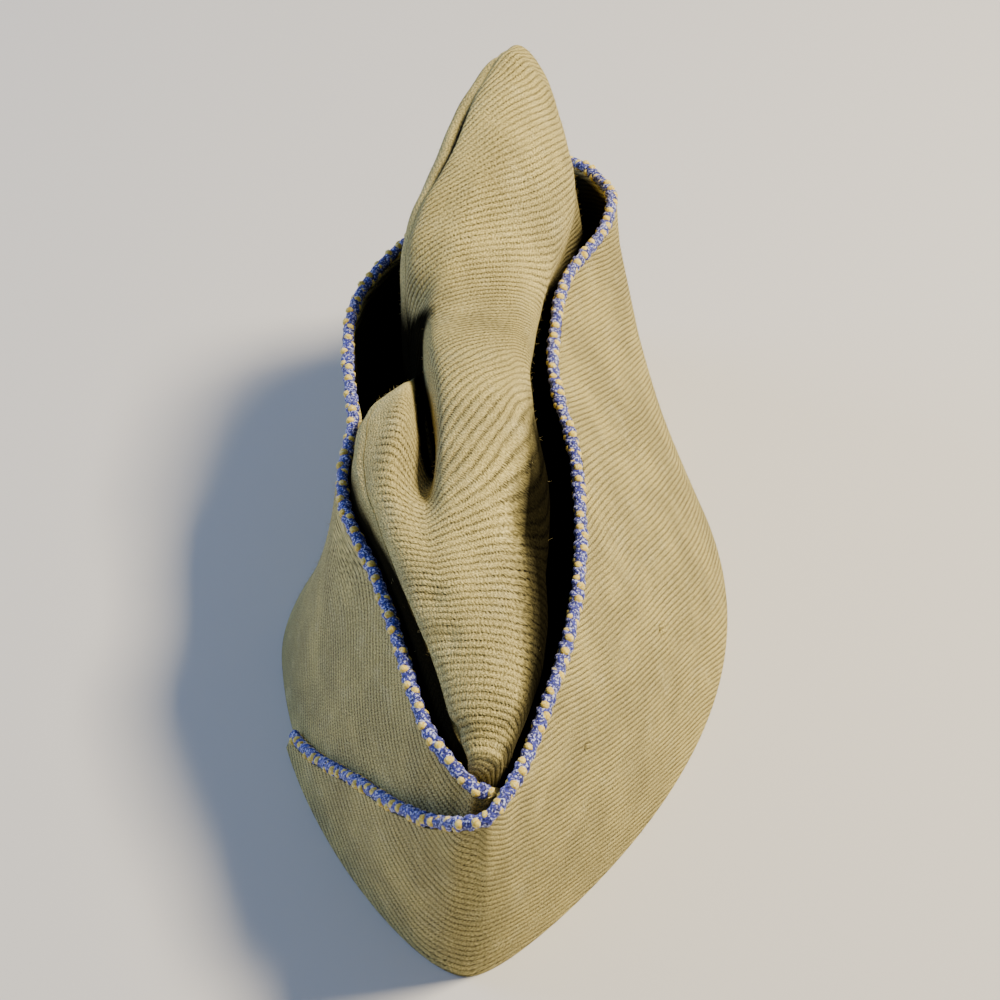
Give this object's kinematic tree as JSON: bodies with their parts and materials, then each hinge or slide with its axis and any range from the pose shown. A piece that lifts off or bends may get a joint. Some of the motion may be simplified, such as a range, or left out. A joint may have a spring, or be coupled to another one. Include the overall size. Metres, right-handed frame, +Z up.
{
  "type": "garrison cap",
  "caption": "Knitted wool garrison cap with a crumpled two-panel crown, a turned-up curtain lapped at the front and a braided cord along its edge.",
  "frame": {"origin": "middle of the cap's footprint, on the plane that its rim rests on", "axes": "+Z up out of the crown, +Y to the back of the cap, +X to the wearer's left"},
  "size_m": [0.1303, 0.2569, 0.1312],
  "materials": {
    "knit_wool": "matte rib knit",
    "braided_cord": "matte braid"
  },
  "bodies": {
    "root": {"crown_left": "knit_wool", "crown_right": "knit_wool", "curtain_left": "knit_wool", "curtain_right": "knit_wool", "piping": "braided_cord"}
  },
  "joints": []
}
